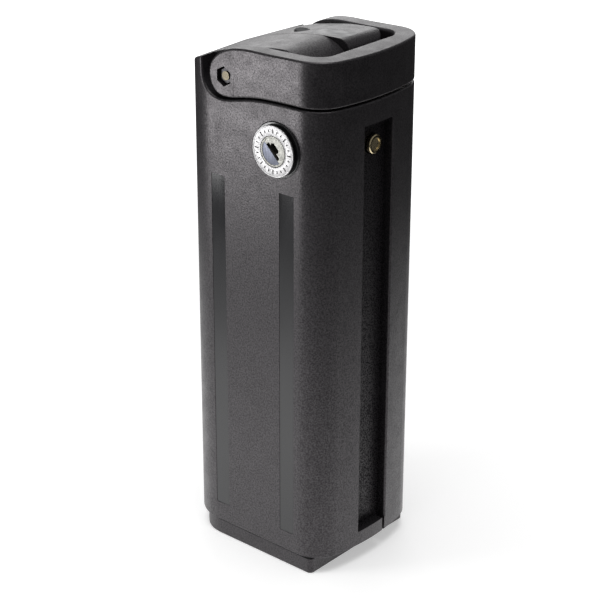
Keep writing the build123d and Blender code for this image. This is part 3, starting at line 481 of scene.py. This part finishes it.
class PACK_OT_lock_face(Operator):
    """Model the lock's bright face ring with its dial marks"""

    bl_idname = "pack.lock_face"
    bl_label = "Lock face ring"

    def execute(self, context):
        finish = context.scene.pack_finish
        low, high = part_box("lock_face_ring")
        plug_low, plug_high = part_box("key_plug")
        centre = Vector(((low.x + high.x) / 2, low.y, (low.z + high.z) / 2))
        outer = (high.x - low.x) / 2
        inner = (plug_high.x - plug_low.x) / 2 + 0.3 * MM
        thick = high.y - low.y
        # a rolled rim, a lip round the hole, and a sunk band that joins them
        rim_wide, lip_wide = 0.9 * MM, 0.6 * MM
        under_rim = 0.3 * MM
        rim = turned_ring("rim", centre, (0, 1, 0), outer - rim_wide, outer, 0, thick, 0.28 * MM)
        band = turned_ring("band", centre, (0, 1, 0), inner, outer - rim_wide + under_rim, 0.16 * MM, thick,
                           0.08 * MM)
        lip = turned_ring("lip", centre, (0, 1, 0), inner, inner + lip_wide, 0.02 * MM, thick, 0.18 * MM)
        ring = join("lock_dial", [rim, band, lip])
        settle(ring, finish_named("chrome"), "pack")
        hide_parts("lock_face_ring")
        # every third mark is a long one
        reach = (inner + lip_wide + outer - rim_wide) / 2
        wide, thin, sunk = 0.6 * MM, 0.2 * MM, 0.13 * MM
        marks = []
        for number in range(finish.marks):
            turn = 2 * math.pi * number / finish.marks
            length = finish.mark_length * (1 if number % 3 == 0 else 0.55)
            deselect()
            bpy.ops.mesh.primitive_cube_add(
                size=1, location=centre + Vector((reach * math.sin(turn), sunk, reach * math.cos(turn))),
                rotation=(0, turn, 0), scale=(wide, thin, length))
            mark = bpy.context.object
            bpy.ops.object.transform_apply(location=True, rotation=True, scale=True)
            bevel(mark, 0.05 * MM, 2)
            marks.append(mark)
        dial_marks = join("lock_dial_marks", marks)
        settle(dial_marks, finish_named("mark_metal"), "pack")
        return {"FINISHED"}


class PACK_OT_plug_face(Operator):
    """Model the polished shutter and the rim on the front of the key plug"""

    bl_idname = "pack.plug_face"
    bl_label = "Key plug face"

    def execute(self, context):
        low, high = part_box("key_plug")
        centre = Vector(((low.x + high.x) / 2, low.y, (low.z + high.z) / 2))
        radius = (high.x - low.x) / 2
        sunk = 0.1 * MM
        rim_wide, rim_proud = 0.95 * MM, 0.2 * MM
        inner = radius - rim_wide
        rim = turned_ring("plug_rim", centre, (0, -1, 0), inner, radius, -sunk, rim_proud, 0.1 * MM)
        settle(rim, finish_named("plug_metal"), "key")
        shutter_radius, shutter_proud = radius - 1.15 * MM, 0.12 * MM
        shutter = disc("plug_shutter", centre, (0, -1, 0), shutter_radius, -sunk, shutter_proud)
        bpy.ops.object.transform_apply(location=True, rotation=True, scale=True)
        bpy.ops.object.mode_set(mode="EDIT")
        bpy.ops.mesh.select_all(action="SELECT")
        # keep the segment below and left of the keyway, which leans at 45 degrees
        lean = Vector((1, 0, 1)).normalized()
        edge = centre - lean * 1.0 * MM
        bpy.ops.mesh.bisect(plane_co=edge, plane_no=lean, use_fill=True, clear_outer=True)
        bpy.ops.object.mode_set(mode="OBJECT")
        bevel(shutter, 0.08 * MM)
        settle(shutter, finish_named("shutter_steel"), "key")
        return {"FINISHED"}


class PACK_OT_bolt_head(Operator):
    """Model the raised ring round the dished end of the brass bolt"""

    bl_idname = "pack.bolt_head"
    bl_label = "Bolt head"

    def execute(self, context):
        low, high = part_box("lock_bolt")
        centre = Vector((high.x, 0, (low.z + high.z) / 2))
        radius = (high.z - low.z) / 2
        inner, outer = radius - 1.5 * MM, radius - 0.35 * MM
        rim = turned_ring("bolt_rim", centre, (-1, 0, 0), inner, outer, 0, 0.5 * MM, 0.2 * MM)
        settle(rim, finish_named("brass"), "bolt")
        return {"FINISHED"}


class PACK_OT_stage(Operator):
    """Set up the floor, the lights, the background and the camera"""

    bl_idname = "pack.stage"
    bl_label = "Build the studio"

    def execute(self, context):
        stage = context.scene.pack_stage
        make_floor(stage.floor_radius, stage.lit_radius)
        make_world(context.scene)
        for name, size, power, place, height in LAMPS:
            add_lamp(name, size, power, place, height)
        add_camera(context.scene, stage)
        context.scene.view_settings.view_transform = "Standard"
        return {"FINISHED"}


def add_lamp(name, size, power, place, height):
    """A square soft lamp that the camera doesn't see, turned to the pack at one height."""
    bpy.ops.object.light_add(type="AREA")
    lamp = bpy.context.object
    lamp.name = name
    lamp.data.shape = "SQUARE"
    lamp.data.size = size
    lamp.data.energy = power
    lamp.visible_camera = False
    lamp.location = place
    towards = Vector((AIM.x, AIM.y, height))
    lamp.rotation_euler = (Vector(place) - towards).to_track_quat("Z", "Y").to_euler()


def add_camera(scene, stage):
    """The camera, aimed at the middle of the pack."""
    turn, rise = stage.azimuth, stage.elevation
    back = Vector((math.sin(turn) * math.cos(rise), -math.cos(turn) * math.cos(rise), math.sin(rise)))
    bpy.ops.object.camera_add(location=AIM + back * stage.distance,
                              rotation=(math.pi / 2 - rise, 0, turn))
    camera = bpy.context.object
    camera.name = "camera"
    camera.rotation_euler.rotate_axis("Z", stage.roll)
    camera.data.lens = stage.lens
    camera.data.sensor_width = 36
    scene.camera = camera


def make_floor(radius, lit):
    """A round white floor that keeps the shadow, shows white to the camera, and carries painted light and
    shade for its reflections: a bright pool round the pack, dark further off.
    """
    bpy.ops.mesh.primitive_circle_add(vertices=128, radius=radius, fill_type="NGON")
    floor = bpy.context.object
    floor.name = "floor"
    material, tree, shader = new_material("floor paper", (PAPER_WHITE,) * 3, 0.9)
    shader.inputs["Specular IOR Level"].default_value = 0.1
    ray = tree.nodes.new("ShaderNodeLightPath")
    camera, glossy = ray.outputs["Is Camera Ray"], ray.outputs["Is Glossy Ray"]
    reach = tree.nodes.new("ShaderNodeVectorMath")
    reach.operation = "DISTANCE"
    reach.inputs[1].default_value = POOL
    tree.links.new(pack_place(tree), reach.inputs[0])
    away = reach.outputs["Value"]
    # painted shade: away from the pack the paper's colour darkens, standing in for the dark of the room,
    # which only its reflections show
    paper = ranged(tree, away, lit, lit * 1.6, PAPER_WHITE, PAPER_PAINTED_SHADE)
    seen = maths(tree, "MULTIPLY", camera, PAPER_WHITE)
    tree.links.new(maths(tree, "MAXIMUM", paper, seen), shader.inputs["Base Color"])
    # painted light: the paper glows, with a lift for the camera and a painted pool of light round the pack
    # that only its reflections show
    pool = ranged(tree, away, lit * 0.3, lit * 1.45, 0.95, 0.0)
    lift = ranged(tree, away, 0.45, 0.9, 0.42, 0.95)
    to_camera = maths(tree, "MULTIPLY", camera, lift)
    to_gloss = maths(tree, "MULTIPLY", glossy, pool)
    strength = maths(tree, "ADD", to_camera, to_gloss)
    glow = tree.nodes.new("ShaderNodeEmission")
    both = tree.nodes.new("ShaderNodeAddShader")
    tree.links.new(strength, glow.inputs["Strength"])
    tree.links.new(shader.outputs["BSDF"], both.inputs[0])
    tree.links.new(glow.outputs["Emission"], both.inputs[1])
    tree.links.new(both.outputs["Shader"], tree.nodes["Material Output"].inputs["Surface"])
    floor.data.materials.append(material)


def make_world(scene):
    """White background to the camera, dimmer soft light for the pack itself."""
    world = bpy.data.worlds.new("studio")
    world.use_nodes = True
    tree = world.node_tree
    background = tree.nodes["Background"]
    background.inputs["Color"].default_value = (1, 1, 1, 1)
    ray = tree.nodes.new("ShaderNodeLightPath")
    strength = ranged(tree, ray.outputs["Is Camera Ray"], 0.0, 1.0, ROOM_LIGHT, 1.0)
    tree.links.new(strength, background.inputs["Strength"])
    scene.world = world


class PACK_PT_panel(Panel):
    """Lists the operators' buttons in the sidebar"""

    bl_idname = "PACK_PT_panel"
    bl_label = "Battery pack"
    bl_space_type = "VIEW_3D"
    bl_region_type = "UI"
    bl_category = "Battery"

    def draw(self, context):
        for operator in OPERATORS:
            self.layout.operator(operator.bl_idname)


OPERATORS = (PACK_OT_finishes, PACK_OT_lock_face, PACK_OT_plug_face, PACK_OT_bolt_head, PACK_OT_stage)
CLASSES = (PackFinish, PackStage, *OPERATORS, PACK_PT_panel)


def register():
    for each in CLASSES:
        bpy.utils.register_class(each)
    bpy.types.Scene.pack_finish = PointerProperty(type=PackFinish)
    bpy.types.Scene.pack_stage = PointerProperty(type=PackStage)


def unregister():
    del bpy.types.Scene.pack_stage
    del bpy.types.Scene.pack_finish
    for each in reversed(CLASSES):
        bpy.utils.unregister_class(each)


def main():
    register()
    deselect()
    bpy.ops.pack.finishes()
    bpy.ops.pack.lock_face()
    bpy.ops.pack.plug_face()
    bpy.ops.pack.bolt_head()
    bpy.ops.pack.stage()


if __name__ == "__main__":
    main()
